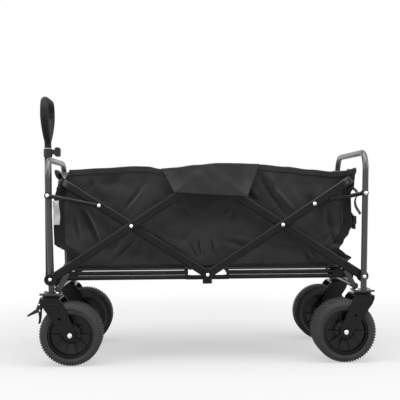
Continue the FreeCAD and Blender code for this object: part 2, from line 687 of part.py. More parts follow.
def handle_grip():
    """Padded loop with its neck on the inner rod."""
    made = body("handle_grip")
    neck = handle_top + size("collar_height") + 2 * SINK
    low, high, half = neck + 20.0, handle_top + size("grip_rise"), size("grip_half")
    taper, bend, tip_bend, above_middle = 55.0, 30.0, 22.0, 27.0
    start = (half, (low + high) / 2 + above_middle)
    loop = [start, (half, high), (-half, high), (-half, low + taper), (0, low), (half, low + taper)]
    path = sketch(made, "YZ_Plane")
    draw_path(path, loop, [0, bend, bend, bend, tip_bend, bend], closed=True)
    profile = sketch(made, "XY_Plane", start[1])
    draw_circle(profile, 0, half, "sizes.grip_radius")
    pipe(made, profile, path)
    rod(made, "XY_Plane", (0, 0), "sizes.grip_radius - 1", neck, low + 4.0)
    return place(made, "front", -size("handle_offset"), 0)


def end_panel(end):
    """Fabric end wall inside the posts, up to the hoop's fabric sleeve."""
    made = body(f"{end}_panel")
    half, near = side_inner - size("panel_margin"), size("panel_inset")
    hoop_z = low_middle_z + hoop_length * math.sin(rise)
    tall = (size("bar_height") / 2 - half_thick) * math.cos(rise)
    high = hoop_z - tall - half_thick - GAP - size("sleeve_thick") - GAP
    box(made, (near, near + size("panel_thick")), (-half, half), (basket_bottom, high))
    return place(made, end, 0, 0)


def rim_sleeve(end):
    """Fabric sleeve round the hoop's cross run."""
    made = body(f"{end}_rim_sleeve")
    profile = sketch(made, "XZ_Plane")
    thick, height, cloth = half_thick + GAP, size("bar_height") / 2 + GAP, size("sleeve_thick")
    draw_slot(profile, hoop_length, 0, thick + cloth, height + cloth)
    draw_slot(profile, hoop_length, 0, thick, height)
    half = inner_layer - size("hoop_corner") - size("sleeve_margin")
    pad(made, profile, f"{2 * half}", midplane=True)
    return place(made, end, middle_x, low_middle_z, 180 - size("rise_angle"))


def side_panel(name, side):
    """Fabric side wall inside the scissors."""
    made = body(f"basket_side_{name}")
    half = middle_x - size("side_inset")
    y = sorted((side * side_inner, side * side_outer))
    box(made, (-half, half), y, (basket_bottom, side_top))
    return place(made, "front", middle_x, 0)


def flap(name, side):
    """Fabric flap over the top middle hinge: a strip on the side's rim and a skirt outside the bars."""
    made = body(f"basket_flap_{name}")
    low, high = side_top + GAP, side_top + GAP + 4.0
    strip = 40.0
    skirt = [(-strip, high), (strip + 5.0, high), (125.0, low - 87.0), (-93.0, low - 71.0)]
    block(made, "XZ_Plane", skirt, "sizes.flap_thick", -side * flap_inner, 0.0, False, side > 0)
    y = sorted((side * side_inner, side * (flap_inner + SINK)))
    box(made, (-strip, strip), y, (low, high))
    return place(made, "front", middle_x, 0)


for end in ENDS:
    end_frame(end)
    beam(end)
    hoop(end)
    rail_frame(end)
    floor_board(end)
    end_panel(end)
    rim_sleeve(end)
    for name, side in SIDES.items():
        rising_bar(end, name, side)
        link(end, name, side)
        yoke(end, name, side)
        tyre(end, name, side)
        rim(end, name, side)
middle_bracket()
middle_board()
handle_bracket()
handle_tube()
handle_collar()
handle_rod()
handle_grip()
for name, side in SIDES.items():
    pedal(name, side)
    side_panel(name, side)
    flap(name, side)
doc.recompute()

faults = [o.Name for o in doc.Objects if "Invalid" in o.State or "Error" in o.State]
for node in nodes:
    shape = node.Shape
    if shape.isNull() or not shape.isValid() or len(shape.Solids) != 1:
        faults.append(f"{node.Label}: {len(shape.Solids)} solids")
if faults:
    raise SystemExit(f"these failed: {faults}")

os.makedirs("parts", exist_ok=True)
for node in nodes:
    node.Shape.exportStep(f"parts/{node.Label}.step")
print(f"{len(nodes)} parts written")
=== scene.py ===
import json
import math
import bpy
from mathutils import Matrix, Vector, noise


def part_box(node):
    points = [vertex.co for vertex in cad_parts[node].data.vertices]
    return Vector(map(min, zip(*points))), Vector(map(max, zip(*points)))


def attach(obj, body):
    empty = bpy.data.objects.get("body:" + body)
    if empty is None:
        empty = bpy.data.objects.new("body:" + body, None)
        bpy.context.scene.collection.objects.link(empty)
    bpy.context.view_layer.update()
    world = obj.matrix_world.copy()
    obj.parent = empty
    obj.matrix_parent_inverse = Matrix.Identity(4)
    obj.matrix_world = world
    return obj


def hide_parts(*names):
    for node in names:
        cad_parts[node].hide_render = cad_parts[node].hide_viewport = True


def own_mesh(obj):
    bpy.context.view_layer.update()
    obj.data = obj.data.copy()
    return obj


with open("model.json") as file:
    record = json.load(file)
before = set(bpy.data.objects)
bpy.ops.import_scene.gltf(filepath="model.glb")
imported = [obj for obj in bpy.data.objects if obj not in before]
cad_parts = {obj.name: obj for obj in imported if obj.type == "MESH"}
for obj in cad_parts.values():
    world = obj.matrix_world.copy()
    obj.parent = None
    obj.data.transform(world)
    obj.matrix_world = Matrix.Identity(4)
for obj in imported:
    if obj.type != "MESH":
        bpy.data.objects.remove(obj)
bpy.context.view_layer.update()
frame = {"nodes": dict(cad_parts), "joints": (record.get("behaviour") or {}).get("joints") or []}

joints = {j["name"]: j for j in frame["joints"]}


def pivot(joint):  # where a joint turns, at rest
    return Vector(joints[joint]["pos_m"])


# Where the cart is, all read from the frame
leftSide, rightSide = -1, 1
sideNames = {leftSide: "left", rightSide: "right"}
frontHinge, rearHinge = pivot("fold"), pivot("rear_frame_turn")
middleHinge = pivot("rear_hoop_turn")
centreX, hingeZ = middleHinge.x, frontHinge.z
halfBase = (rearHinge.x - frontHinge.x) / 2
rise = math.atan2(pivot("front_hoop_turn").z - hingeZ, pivot("front_hoop_turn").x - frontHinge.x)


# --- material building ---
class Value:  # a shader socket that takes arithmetic
    def __init__(self, paint, socket):
        self.paint, self.socket = paint, socket

    def maths(self, operation, first, second):
        return self.paint.node("Math", {"operation": operation}, {0: first, 1: second})

    def __add__(self, other):
        return self.maths("ADD", self, other)

    def __radd__(self, other):
        return self.maths("ADD", other, self)

    def __sub__(self, other):
        return self.maths("SUBTRACT", self, other)

    def __rsub__(self, other):
        return self.maths("SUBTRACT", other, self)

    def __mul__(self, other):
        return self.maths("MULTIPLY", self, other)

    def __rmul__(self, other):
        return self.maths("MULTIPLY", other, self)

    def __pow__(self, other):
        return self.maths("POWER", self, other)


class Paint:  # one material and its nodes
    def __init__(self, name, base, roughness, metallic=0.0, mirror=0.25):
        self.material = bpy.data.materials.new(name)
        self.material.use_nodes = True
        self.tree = self.material.node_tree
        self.shader = self.tree.nodes["Principled BSDF"]
        self.shader.inputs["Base Color"].default_value = (*base, 1)
        self.shader.inputs["Roughness"].default_value = roughness
        self.shader.inputs["Metallic"].default_value = metallic
        self.shader.inputs["Specular IOR Level"].default_value = mirror
        coords = self.tree.nodes.new("ShaderNodeTexCoord")
        self.place = Value(self, coords.outputs["Object"])

    def node(self, kind, settings, values, output=0):
        made = self.tree.nodes.new("ShaderNode" + kind)
        for key, value in settings.items():
            if key == "stops":
                while len(made.color_ramp.elements) < len(value):
                    made.color_ramp.elements.new(0.5)
                for element, (at, colour) in zip(made.color_ramp.elements, value):
                    element.position, element.color = at, colour
            else:
                setattr(made, key, value)
        for key, value in values.items():
            if isinstance(value, Value):
                self.tree.links.new(value.socket, made.inputs[key])
            else:
                made.inputs[key].default_value = value
        return Value(self, made.outputs[output])

    def noise(self, scale, detail=3.0, stretch=(1, 1, 1)):
        place = self.node("Mapping", {}, {"Vector": self.place, "Scale": stretch})
        return self.node("TexNoise", {}, {"Vector": place, "Scale": scale, "Detail": detail})

    def wave(self, scale, direction):
        settings = {"wave_type": "BANDS", "bands_direction": direction, "wave_profile": "SIN"}
        return self.node("TexWave", settings, {"Vector": self.place, "Scale": scale, "Distortion": 0.6})

    def blendColour(self, factor, dark, light):
        settings = {"data_type": "RGBA"}
        return self.node("Mix", settings, {0: factor, 6: (*dark, 1), 7: (*light, 1)}, 2)

    def feed(self, **links):
        for name, value in links.items():
            self.tree.links.new(value.socket, self.shader.inputs[name.replace("_", " ")])

    def bump(self, height, strength, distance):
        values = {"Strength": strength, "Distance": distance, "Height": height}
        self.feed(Normal=self.node("Bump", {}, values))


def satinPaint(name, dark, light, gloss, mirror):
    paint = Paint(name, dark, gloss, 0.0, mirror)
    cloud = paint.noise(9.0)
    grain = paint.noise(900.0, 2.0)
    paint.feed(Base_Color=paint.blendColour(cloud, dark, light))
    paint.feed(Roughness=gloss + cloud * 0.12)
    paint.bump(grain + cloud * 0.4, 0.12, 0.0006)
    return paint.material


def zinc():
    paint = Paint("bright zinc", (0.72, 0.72, 0.74), 0.24, 1.0, 0.5)
    cloud = paint.noise(160.0)
    paint.feed(Base_Color=paint.blendColour(cloud, (0.55, 0.55, 0.57), (0.85, 0.85, 0.87)))
    paint.feed(Roughness=0.16 + cloud * 0.2)
    return paint.material


def wovenCloth(name, dark, light, threads=900.0):
    paint = Paint(name, dark, 0.8, mirror=0.08)
    cloud = paint.noise(14.0, 4.0)
    slub = paint.noise(220.0, 2.0, (1, 1, 0.15))
    warp, weft = paint.wave(threads / 6.28, "X"), paint.wave(threads / 6.28, "Z")
    weave = warp * weft
    shade = cloud * 0.55 + slub * 0.25 + weave * 0.2
    paint.feed(Base_Color=paint.blendColour(shade, dark, light))
    paint.feed(Roughness=0.62 + cloud * 0.25)
    paint.bump(weave + slub * 0.5, 0.35, 0.0005)
    paint.shader.inputs["Sheen Weight"].default_value = 0.25
    paint.shader.inputs["Sheen Roughness"].default_value = 0.5
    return paint.material


def tyreRubber():
    paint = Paint("tyre rubber", (0.045, 0.045, 0.047), 0.72, mirror=0.15)
    cloud = paint.noise(24.0, 5.0)
    fine = paint.noise(700.0, 2.0)
    paint.feed(Base_Color=paint.blendColour(cloud, (0.03, 0.03, 0.031), (0.062, 0.062, 0.065)))
    paint.feed(Roughness=0.6 + cloud * 0.25)
    paint.bump(fine, 0.2, 0.0005)
    return paint.material


def rimPlastic():
    paint = Paint("rim plastic", (0.009, 0.009, 0.01), 0.25)
    cloud = paint.noise(30.0)
    paint.feed(Base_Color=paint.blendColour(cloud, (0.006, 0.006, 0.007), (0.016, 0.016, 0.018)))
    paint.feed(Roughness=0.2 + cloud * 0.2)
    return paint.material


def mouldedPlastic():
    paint = Paint("moulded plastic", (0.02, 0.02, 0.022), 0.5)
    cloud, fine = paint.noise(40.0), paint.noise(1200.0, 2.0)
    paint.feed(Base_Color=paint.blendColour(cloud, (0.014, 0.014, 0.015), (0.032, 0.032, 0.034)))
    paint.feed(Roughness=0.4 + cloud * 0.2)
    paint.bump(fine, 0.3, 0.0004)
    return paint.material


def gripFoam():
    paint = Paint("grip foam", (0.02, 0.02, 0.021), 0.85, mirror=0.15)
    cloud, cells = paint.noise(30.0), paint.noise(500.0, 4.0)
    paint.feed(Base_Color=paint.blendColour(cloud, (0.014, 0.014, 0.015), (0.036, 0.036, 0.038)))
    paint.feed(Roughness=0.75 + cells * 0.2)
    paint.bump(cells, 0.5, 0.0008)
    return paint.material


def paleLabel():
    paint = Paint("pale label", (0.6, 0.6, 0.6), 0.6)
    cloud = paint.noise(60.0)
    paint.feed(Base_Color=paint.blendColour(cloud, (0.45, 0.45, 0.45), (0.72, 0.72, 0.72)))
    return paint.material


paintMat = satinPaint("bar paint", (0.005, 0.005, 0.006), (0.010, 0.010, 0.011), 0.20, 0.18)
# The tubes carry the bars' black paint made lighter: a painted reflection of the studio on the round tubes.
paintedReflectionTubeMat = satinPaint("tube paint with painted reflection", (0.024, 0.024, 0.026), (0.038, 0.038, 0.041), 0.22, 0.6)
zincMat, tyreMat, rimMat = zinc(), tyreRubber(), rimPlastic()
plasticMat, foamMat, labelMat = mouldedPlastic(), gripFoam(), paleLabel()
clothMat = wovenCloth("basket cloth", (0.017, 0.017, 0.018), (0.050, 0.050, 0.052))
# Black webbing for the bands and straps; on the rim wraps the same dark colour is painted shade on the basket cloth.
webbingAndShadeMat = wovenCloth("webbing and painted shade", (0.005, 0.005, 0.006), (0.02, 0.02, 0.022), 500.0)
print("materials made")


# --- making pieces ---
def newPiece(name, verts, faces, material, body, smooth=True):
    mesh = bpy.data.meshes.new(name)
    mesh.from_pydata([tuple(v) for v in verts], [], faces)
    mesh.validate()
    mesh.materials.append(material)
    mesh.polygons.foreach_set("use_smooth", [smooth] * len(mesh.polygons))
    mesh.update()
    piece = bpy.data.objects.new(name, mesh)
    bpy.context.scene.collection.objects.link(piece)
    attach(piece, body)
    return piece


def gridFaces(across, along, wrapAcross=False, wrapAlong=False):
    faces = []
    for i in range(across if wrapAcross else across - 1):
        for j in range(along if wrapAlong else along - 1):
            i2, j2 = (i + 1) % across, (j + 1) % along
            faces.append((i * along + j, i2 * along + j, i2 * along + j2, i * along + j2))
    return faces


def thicken(piece, thickness, offset=0.0):
    made = piece.modifiers.new("thickness", "SOLIDIFY")
    made.thickness, made.offset = thickness, offset
    return piece


def between(points, at):  # smooth value through a few (place, value) points
    for (x0, y0), (x1, y1) in zip(points, points[1:]):
        if at <= x1:
            share = max(0.0, (at - x0) / (x1 - x0))
            return y0 + (y1 - y0) * share * share * (3 - 2 * share)
    return points[-1][1]


def merge(parts):  # several (verts, faces) as one
    verts, faces = [], []
    for partVerts, partFaces in parts:
        base = len(verts)
        verts += partVerts
        faces += [tuple(base + i for i in face) for face in partFaces]
    return verts, faces


def turned(profile, centre, steps):  # closed (radius, width) outline turned about the axle line
    verts = []
    for i in range(steps):
        angle = 2 * math.pi * i / steps
        for radius, width in profile:
            verts.append(centre + Vector((radius * math.cos(angle), width, radius * math.sin(angle))))
    return verts, gridFaces(steps, len(profile), True, True)


def blockShape(low, high, turn=None):
    xs, ys, zs = zip(low, high)
    corners = [Vector((x, y, z)) for x in xs for y in ys for z in zs]
    if turn:
        corners = [turn @ corner for corner in corners]
    faces = [(0, 1, 3, 2), (4, 6, 7, 5), (0, 4, 5, 1), (2, 3, 7, 6), (0, 2, 6, 4), (1, 5, 7, 3)]
    return corners, faces


def tubeAlong(points, radius, steps=20, squeeze=1.0, closed=False):
    verts = []
    count = len(points)
    for i, point in enumerate(points):
        before = points[i - 1] if i or closed else point
        after = points[(i + 1) % count] if i < count - 1 or closed else point
        way = (after - before).normalized()
        out = Vector((1, 0, 0)) if abs(way.x) < 0.9 else Vector((0, 1, 0))
        side = way.cross(out).normalized()
        r = radius[i] if isinstance(radius, list) else radius
        for j in range(steps):
            turn = 2 * math.pi * j / steps
            verts.append(point + out * (r * squeeze * math.cos(turn)) + side * (r * math.sin(turn)))
    return verts, gridFaces(count, steps, closed, True)


def curveThrough(outline, steps=8, closed=False):  # even curve through a few spots
    spots = [Vector(spot) for spot in outline]
    count, points = len(spots), []
    for i in range(count if closed else count - 1):
        near = [i + k if closed else min(count - 1, max(0, i + k)) for k in (-1, 0, 1, 2)]
        p0, p1, p2, p3 = (spots[k % count] for k in near)
        for s in range(steps):
            w = s / steps
            curve = 2 * p1 + (p2 - p0) * w + (2 * p0 - 5 * p1 + 4 * p2 - p3) * w ** 2
            points.append((curve + (3 * p1 - p0 - 3 * p2 + p3) * w ** 3) / 2)
    return points if closed else points + [spots[-1]]


def ribbon(name, points, width, body, across, material):
    verts, half = [], Vector(across).normalized() * width / 2
    for point in points:
        verts += [point - half, point + half]
    piece = newPiece(name, verts, gridFaces(len(points), 2), material, body)
    return thicken(piece, 0.0014)


def repaint(material, *names):
    for name in names:
        for place in frame["nodes"][name].material_slots:
            place.material = material


# --- frame metalwork ---
metalwork = ("frame", "beam", "hoop", "bar_", "link", "yoke")
painted = [name for name in frame["nodes"] if any(word in name for word in metalwork)]
repaint(paintMat, *painted, "middle_bracket", "handle_bracket", "handle_tube")
# Posts and beams get the lighter tube paint, a painted reflection.
repaint(paintedReflectionTubeMat, "front_frame", "rear_frame", "front_beam", "rear_beam")
repaint(zincMat, "handle_rod")
repaint(plasticMat, "front_brake_left", "front_brake_right")
print("metalwork painted")


# --- rivets ---
rivetLook = {"radius": 0.0055, "height": 0.0028, "rings": 5, "steps": 24, "linkEye": 0.0096}
eyeLook = {"radius": 0.0172, "inner": 0.012, "deep": 0.008, "chamfer": 0.0009, "proud": 0.0004}


def dome(centre, side, radius, height):
    verts, rings, steps = [], rivetLook["rings"], rivetLook["steps"]
    for i in range(rings):
        tilt = math.pi / 2 * i / rings
        for j in range(steps):
            turn = 2 * math.pi * j / steps
            flat = radius * math.cos(tilt)
            shift = Vector((flat * math.cos(turn), side * height * math.sin(tilt), flat * math.sin(turn)))
            verts.append(centre + shift)
    faces = gridFaces(rings, steps, False, True)
    verts.append(centre + Vector((0, side * height, 0)))
    last = (rings - 1) * steps
    faces += [(last + j, last + (j + 1) % steps, len(verts) - 1) for j in range(steps)]
    return verts, faces


def outerFace(node, side):
    low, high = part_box(node if node in frame["nodes"] else f"{node}_{sideNames[side]}")
    return low.y if side == leftSide else high.y


def rivets(body, node, places):
    look, parts = rivetLook, []
    for side in (leftSide, rightSide):
        face = outerFace(node, side)
        parts += [dome(Vector((at.x, face, at.z)), side, look["radius"], look["height"]) for at in places]
    verts, faces = merge(parts)
    newPiece(f"{body}_rivets", verts, faces, zincMat, body)


def hingeEyes(end, hinge):  # round ends of the bars at the lower hinges
    look, parts = eyeLook, []
    rim = look["radius"] - look["chamfer"]
    for side in (leftSide, rightSide):
        centre = Vector((hinge.x, outerFace(f"{end}_bar", side), hinge.z))
        outline = [(look["inner"], -look["proud"]), (rim, -look["proud"]), (look["radius"], look["chamfer"]),
                   (look["radius"], look["deep"]), (look["inner"], look["deep"])]
        outline = [(radius, -side * width) for radius, width in outline]
        parts.append(turned(outline[::-side], centre, 64))
    verts, faces = merge(parts)
    newPiece(f"{end}_hinge_eyes", verts, faces, paintMat, f"{end}_bars", False)


def linkPin(end):  # where a link meets its hoop
    low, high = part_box(f"{end}_link_left")
    eye = rivetLook["linkEye"]
    return Vector((high.x - eye if end == "front" else low.x + eye, 0, low.z + eye))


rivets("front_bars", "front_bar", [frontHinge, pivot("front_hoop_turn")])
rivets("rear_hoop", "rear_hoop", [middleHinge, pivot("rear_bars_turn"), linkPin("rear")])
rivets("rear_frame", "rear_frame", [rearHinge, pivot("rear_links_turn")])
rivets("front_links", "front_link", [pivot("front_links_turn"), linkPin("front")])
hingeEyes("front", frontHinge)
hingeEyes("rear", rearHinge)
print("rivets made")


# --- wheels ---
wheelLook = {"treadDepth": 0.0036, "lugs": 68, "steps": 544, "lean": 0.009, "shoulder": 0.012,
             "ribs": 10, "ribThick": 0.0022, "dish": 0.034, "boss": 0.0168, "bore": 0.0061,
             "capRadius": 0.007, "capHeight": 0.003}


def tyreRows(seat, outer, half):  # across one wheel: radius, width and share of the tread
    shoulder = wheelLook["shoulder"]
    flat, wall = half - shoulder, outer - shoulder
    rows = [(seat + (wall - seat) * i / 6, -half + 0.0012 * math.sin(i), 0.0) for i in range(7)]
    for i in range(1, 6):
        tilt = math.pi / 2 * i / 5
        rows.append((wall + shoulder * math.sin(tilt), -half + shoulder * (1 - math.cos(tilt)), 0.45 + i / 9))
    mirrored = [(radius, -width, tread) for radius, width, tread in reversed(rows)]
    rows += [(outer, -flat + 2 * flat * i / 16, 1.0) for i in range(1, 16)]
    return rows + mirrored


def tyre(centre, rows, half):
    look, verts = wheelLook, []
    for i in range(look["steps"]):
        turn = 2 * math.pi * i / look["steps"]
        for radius, width, tread in rows:
            depth = look["treadDepth"] * tread
            phase = (turn + look["lean"] * math.sin(width / half * math.pi * 2)) * look["lugs"]
            groove = min(1.0, max(0.0, math.sin(phase) * 2.2)) * depth
            channel = depth if abs(abs(width) - half * 0.36) < half * 0.045 else 0.0
            reach = radius - max(groove, channel)
            verts.append(centre + Vector((reach * math.cos(turn), width, reach * math.sin(turn))))
    return verts, gridFaces(look["steps"], len(rows), True, False)


def wheel(end, side):
    name, look = sideNames[side], wheelLook
    body = f"{end}_wheel_{name}"
    low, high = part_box(f"{end}_tyre_{name}")
    rimLow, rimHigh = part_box(f"{end}_rim_{name}")
    centre = (low + high) / 2
    outer, half = (high.z - low.z) / 2, (high.y - low.y) / 2
    seat, hub = (rimHigh.z - rimLow.z) / 2, (rimHigh.y - rimLow.y) / 2
    verts, faces = tyre(centre, tyreRows(seat, outer, half), half)
    piece = newPiece(f"{end}_tyre_{name}_tread", verts, faces, tyreMat, body)
    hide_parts(f"{end}_tyre_{name}")
    edge, dish, wall, boss, bore = half - 0.004, look["dish"], seat - 0.0055, look["boss"], look["bore"]
    profile = [(seat, -edge), (wall, -edge - 0.0015), (wall - 0.001, -edge + 0.008), (wall - 0.004, -dish)]
    profile += [(boss + 0.012, -dish + 0.006), (boss + 0.001, -dish), (boss, -hub), (bore, -hub)]
    profile += [(radius, -width) for radius, width in reversed(profile)]
    parts = [turned(profile, centre, 144)]
    for i in range(look["ribs"]):
        spin = Matrix.Translation(centre) @ Matrix.Rotation(-2 * math.pi * i / look["ribs"], 4, "Y")
        thick = look["ribThick"] / 2
        for face in (-1, 1):
            near, far = sorted((face * (dish - 0.008), face * (edge - 0.006)))
            parts.append(blockShape((boss - 0.001, near, -thick), (wall - 0.001, far, thick), spin))
    verts, faces = merge(parts)
    rim = newPiece(f"{end}_rim_{name}_ribbed", verts, faces, rimMat, body)
    for polygon in rim.data.polygons:
        polygon.use_smooth = polygon.index < 144 * len(profile)
    rim.data.set_sharp_from_angle(angle=math.radians(35))
    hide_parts(f"{end}_rim_{name}")
    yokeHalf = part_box(f"{end}_yoke_{name}")[1].y - centre.y
    caps = [(centre + Vector((0, way * yokeHalf, 0)), way) for way in (-1, 1)]
    verts, faces = merge([dome(spot, way, look["capRadius"], look["capHeight"]) for spot, way in caps])
    newPiece(f"{end}_axle_caps_{name}", verts, faces, zincMat, f"{end}_caster_{name}")


for end in ("front", "rear"):
    for side in (leftSide, rightSide):
        wheel(end, side)
print("wheels made")


# --- caster hardware ---
def boltHead(centre, radius, height, steps=6):  # six-sided head standing up
    verts = []
    for z in (0.0, height):
        for i in range(steps):
            turn = 2 * math.pi * i / steps
            verts.append(centre + Vector((radius * math.cos(turn), radius * math.sin(turn), z)))
    faces = [(i, (i + 1) % steps, steps + (i + 1) % steps, steps + i) for i in range(steps)]
    return verts, faces + [tuple(range(steps - 1, -1, -1)), tuple(range(steps, 2 * steps))]


casterLook = {
    "bolts": 0.021, "boltRadius": 0.0052, "boltHeight": 0.0045,
    "ribRadius": 0.0016, "ribDrop": 0.0285, "cheekInset": 0.005,
    "brakePins": [(-0.0327, -0.0727), (-0.0312, -0.0905)], "pinRadius": 0.0032, "pinHeight": 0.0016,
}


def plateBolts(end, name, swivel):
    look, parts = casterLook, []
    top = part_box(f"{end}_frame")[0].z - 0.0005
    for x in (-look["bolts"], look["bolts"]):
        for y in (-look["bolts"], look["bolts"]):
            spot = Vector((swivel.x + x, swivel.y + y, top))
            parts.append(boltHead(spot, look["boltRadius"], look["boltHeight"]))
    verts, faces = merge(parts)
    bolts = newPiece(f"{end}_plate_bolts_{name}", verts, faces, zincMat, f"{end}_frame", False)
    bolts.modifiers.new("rounding", "BEVEL").width = 0.0006


def yokeRibs(end, name, swivel):  # pressed lines down both cheeks
    look, parts = casterLook, []
    axle = pivot(f"{end}_wheel_spin_{name}")
    low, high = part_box(f"{end}_yoke_{name}")
    inward, top = 1 if axle.x > swivel.x else -1, high.z - look["ribDrop"]
    route = [(-0.004, top), (0.026, top), (0.058, axle.z + 0.020)]
    for face in (low.y + look["cheekInset"], high.y - look["cheekInset"]):
        spots = [Vector((swivel.x + inward * x, face, z)) for x, z in route]
        for start, stop in zip(spots, spots[1:]):
            parts.append(tubeAlong([start, start.lerp(stop, 0.5), stop], look["ribRadius"], 10))
    verts, faces = merge(parts)
    newPiece(f"{end}_yoke_ribs_{name}", verts, faces, paintMat, f"{end}_caster_{name}")


def brakePins(name, swivel):
    look, parts = casterLook, []
    low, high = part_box(f"front_brake_{name}")
    for x, z in look["brakePins"]:
        for face, way in ((low.y, -1), (high.y, 1)):
            spot = Vector((swivel.x + x, face, hingeZ + z))
            parts.append(dome(spot, way, look["pinRadius"], look["pinHeight"]))
    verts, faces = merge(parts)
    newPiece(f"brake_pins_{name}", verts, faces, zincMat, f"front_caster_{name}")


for name in sideNames.values():
    for end in ("front", "rear"):
        swivel = pivot(f"{end}_swivel_{name}")
        plateBolts(end, name, swivel)
        yokeRibs(end, name, swivel)
    brakePins(name, pivot(f"front_swivel_{name}"))
print("casters finished")


# --- basket cloth ---
# Heights are from the hinge line and lengths along from the middle, both in metres
basketLook = {
    "thick": 0.0014,
    "columns": 260,
    "rows": 88,
    "slack": 0.0085,
    "hem": 0.017,
    "frontEdge": [(0.0274, -0.405), (0.0764, -0.4055), (0.0832, -0.414), (0.0906, -0.426), (0.0979, -0.439),
                  (0.1048, -0.4475), (0.1566, -0.449), (0.231, -0.448), (0.2663, -0.44), (0.2888, -0.436),
                  (0.3035, -0.413), (0.328, -0.402)],
    "rearEdge": [(0.0274, 0.362), (0.0392, 0.395), (0.046, 0.418), (0.0548, 0.427), (0.0685, 0.407), (0.0842, 0.391),
                 (0.1077, 0.404), (0.1341, 0.42), (0.1537, 0.428), (0.2565, 0.426), (0.2702, 0.436), (0.3231, 0.44)],
    "rim": [(-0.4404, 0.3152), (-0.4012, 0.3187), (-0.3033, 0.3231), (-0.2103, 0.328), (-0.176, 0.327),
            (-0.131, 0.3192), (-0.0928, 0.3211), (-0.0311, 0.328), (0.0341, 0.3329), (0.1574, 0.3304),
            (0.2338, 0.3231), (0.3062, 0.3143), (0.3757, 0.3074), (0.412, 0.3103), (0.4389, 0.3177)],
}


def crease(x, z, fromX, fromZ, toX, toZ, width, fade=0.42):  # ridge along a line, 0 to 1
    run = Vector((toX - fromX, toZ - fromZ))
    at = Vector((x - fromX, z - fromZ))
    share = at.dot(run) / run.length_squared
    off = (at - run * share).length / width
    ends = min(1.0, max(0.0, share / fade)) * min(1.0, max(0.0, (1 - share) / fade))
    return math.exp(-off * off) * ends


# Each fold of the sides: from, to, width, depth
sideFolds = [
    (-0.3865, 0.2301, -0.3111, 0.1077, 0.009, 0.013),
    (-0.3669, 0.2252, -0.318, 0.1224, 0.007, 0.01),
    (-0.3914, 0.2007, -0.3679, 0.0881, 0.007, 0.009),
    (-0.3474, 0.1615, -0.3033, 0.0734, 0.01, 0.009),
    (-0.178, 0.279, -0.2495, 0.1909, 0.006, 0.008),
    (-0.2152, 0.3133, -0.3131, 0.2692, 0.014, 0.013),
    (-0.3327, 0.2937, -0.3474, 0.2496, 0.01, 0.006),
    (-0.1907, 0.1322, -0.2955, 0.0294, 0.007, 0.011),
    (-0.2397, 0.1224, -0.3033, 0.0538, 0.012, 0.009),
    (-0.1613, 0.0832, -0.2641, 0.0627, 0.011, 0.009),
    (-0.1271, 0.1077, -0.1809, 0.0392, 0.014, 0.008),
    (-0.129, 0.2937, -0.0977, 0.3015, 0.005, 0.006),
    (-0.0742, 0.2105, -0.0488, 0.1782, 0.008, 0.007),
    (-0.039, 0.1322, -0.086, 0.0959, 0.008, 0.007),
    (-0.0262, 0.1155, -0.0145, 0.0607, 0.005, 0.009),
    (0.0125, 0.1136, 0.0204, 0.0607, 0.005, 0.009),
    (-0.0488, 0.1028, -0.0292, 0.0538, 0.005, 0.007),
    (0.1692, 0.279, 0.2377, 0.1762, 0.007, 0.014),
    (0.1858, 0.2624, 0.2504, 0.186, 0.006, 0.01),
    (0.1516, 0.3035, 0.1936, 0.2565, 0.01, 0.009),
    (0.1134, 0.2643, 0.1467, 0.2252, 0.006, 0.007),
    (0.0683, 0.2154, 0.0429, 0.1684, 0.007, 0.006),
    (0.0899, 0.2075, 0.0683, 0.1566, 0.007, 0.006),
    (0.0292, 0.1136, 0.1662, 0.0803, 0.01, 0.008),
    (0.1741, 0.0979, 0.272, 0.0862, 0.01, 0.009),
    (0.2837, 0.0783, 0.3209, 0.0333, 0.007, 0.008),
    (0.3229, 0.0538, 0.3738, 0.0881, 0.007, 0.009),
    (0.3307, 0.095, 0.3797, 0.1273, 0.008, 0.01),
    (0.3669, 0.1371, 0.3875, 0.0822, 0.006, 0.01),
    (0.3474, 0.2105, 0.3738, 0.1175, 0.009, 0.008),
    (0.3033, 0.2447, 0.3327, 0.1468, 0.014, 0.009),
    (0.4012, 0.2447, 0.3973, 0.1273, 0.006, 0.007),
]


def sideSlack(x, z, seed):  # how far the cloth sits in from the bars, in metres
    soft = noise.noise(Vector((x * 6, z * 7, seed))) * 0.009
    soft += noise.noise(Vector((x * 15 + z * 9, z * 14 - x * 7, seed + 5))) * 0.0045
    ripple = noise.noise(Vector((x * 40, z * 30, seed + 9))) * 0.0014
    ripple += (0.3 - abs(noise.noise(Vector((x * 13 + z * 5, z * 11 - x * 4, seed + 2))))) * 0.008
    folds = 0.0
    for x0, z0, x1, z1, width, deep in sideFolds:
        folds += deep * crease(x, z, x0, z0, x1, z1, width)
        shift = width * 1.7
        folds -= 0.6 * deep * crease(x, z, x0 + shift, z0 + shift / 3, x1 + shift, z1 + shift / 3, width)
    return basketLook["slack"] + soft + ripple + folds


def sideSpot(side, x, z, lift=0.0):  # point on a side's cloth
    front, rear = between(basketLook["frontEdge"], z), between(basketLook["rearEdge"], z)
    rim = between(basketLook["rim"], x)
    inward = min(1.0, max(0.0, (x - front) * 45), max(0.0, (rear - x) * 45))
    inward *= min(1.0, max(0.0, rim - z) * 16 + 0.25)
    slack = max(0.0, sideSlack(x, z, 3.0 * side)) * inward
    return Vector((centreX + x, sideFace(side) - side * (slack - lift), hingeZ + z))


def sideFace(side):
    low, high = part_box(f"basket_side_{sideNames[side]}")
    return (low.y if side == leftSide else high.y) - side * 0.0012


def clothPatch(name, side, spot, columns, rows, material=clothMat):  # spot gives x, z, lift from u, v
    verts = []
    for i in range(columns):
        for j in range(rows):
            x, z, lift = spot(i / (columns - 1), j / (rows - 1))
            verts.append(sideSpot(side, x, z, lift))
    piece = newPiece(name, verts, gridFaces(columns, rows), material, "front_frame")
    thicken(piece, basketLook["thick"])
    squashBasket(piece)
    return piece


def squashBasket(piece):
    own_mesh(piece)


